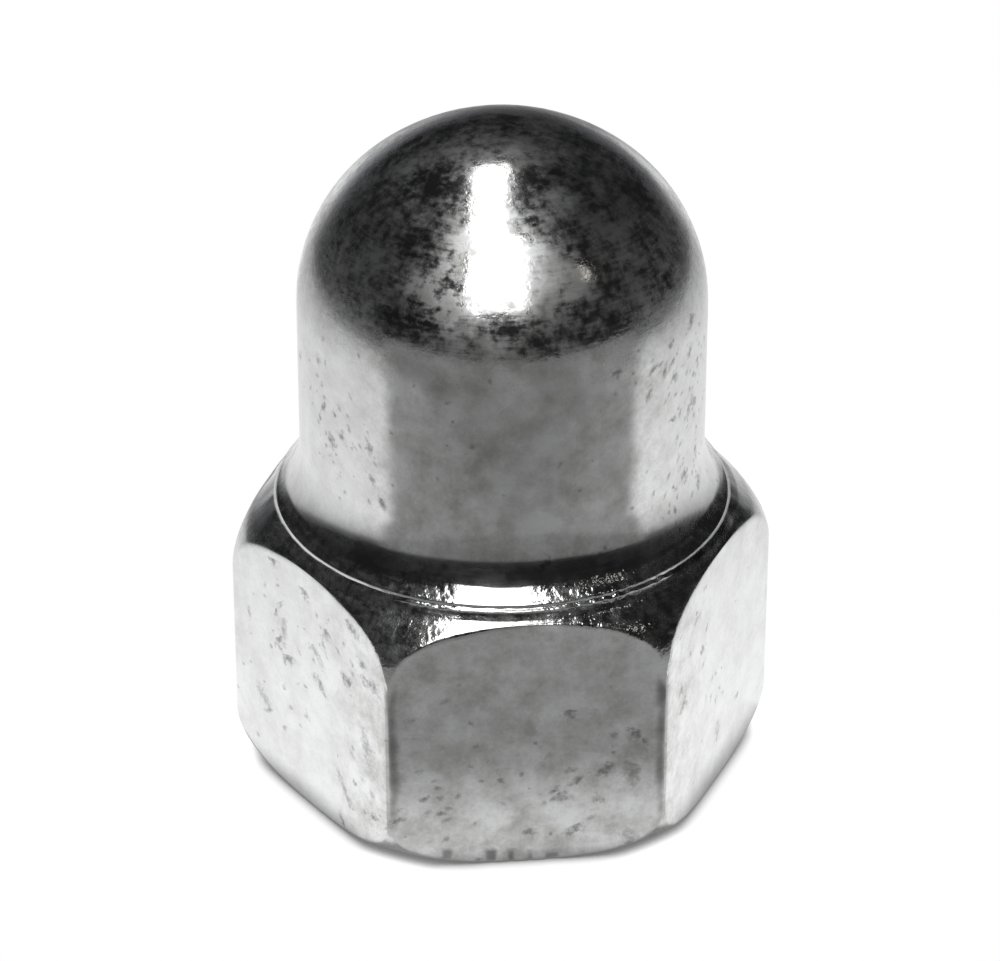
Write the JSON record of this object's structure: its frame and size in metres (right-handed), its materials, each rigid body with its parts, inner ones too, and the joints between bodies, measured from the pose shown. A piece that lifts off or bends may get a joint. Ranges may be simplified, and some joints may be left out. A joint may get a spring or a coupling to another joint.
{
  "type": "domed lug nut",
  "caption": "Closed-end domed lug nut: hexagon with rounded corners, thin collar, plain barrel and dome, blind threaded hole in the flat bearing face.",
  "frame": {"origin": "centre of the flat bearing face, on the nut's axis", "axes": "+Z along the nut's axis from the bearing face to the dome; -Y out of one of the six flats"},
  "size_m": [0.0218, 0.019, 0.0277],
  "materials": {
    "plating": "bright plating over turned steel, lightly worn, with small pits and scuffs"
  },
  "bodies": {
    "root": {"lug_nut": "plating"}
  },
  "joints": []
}
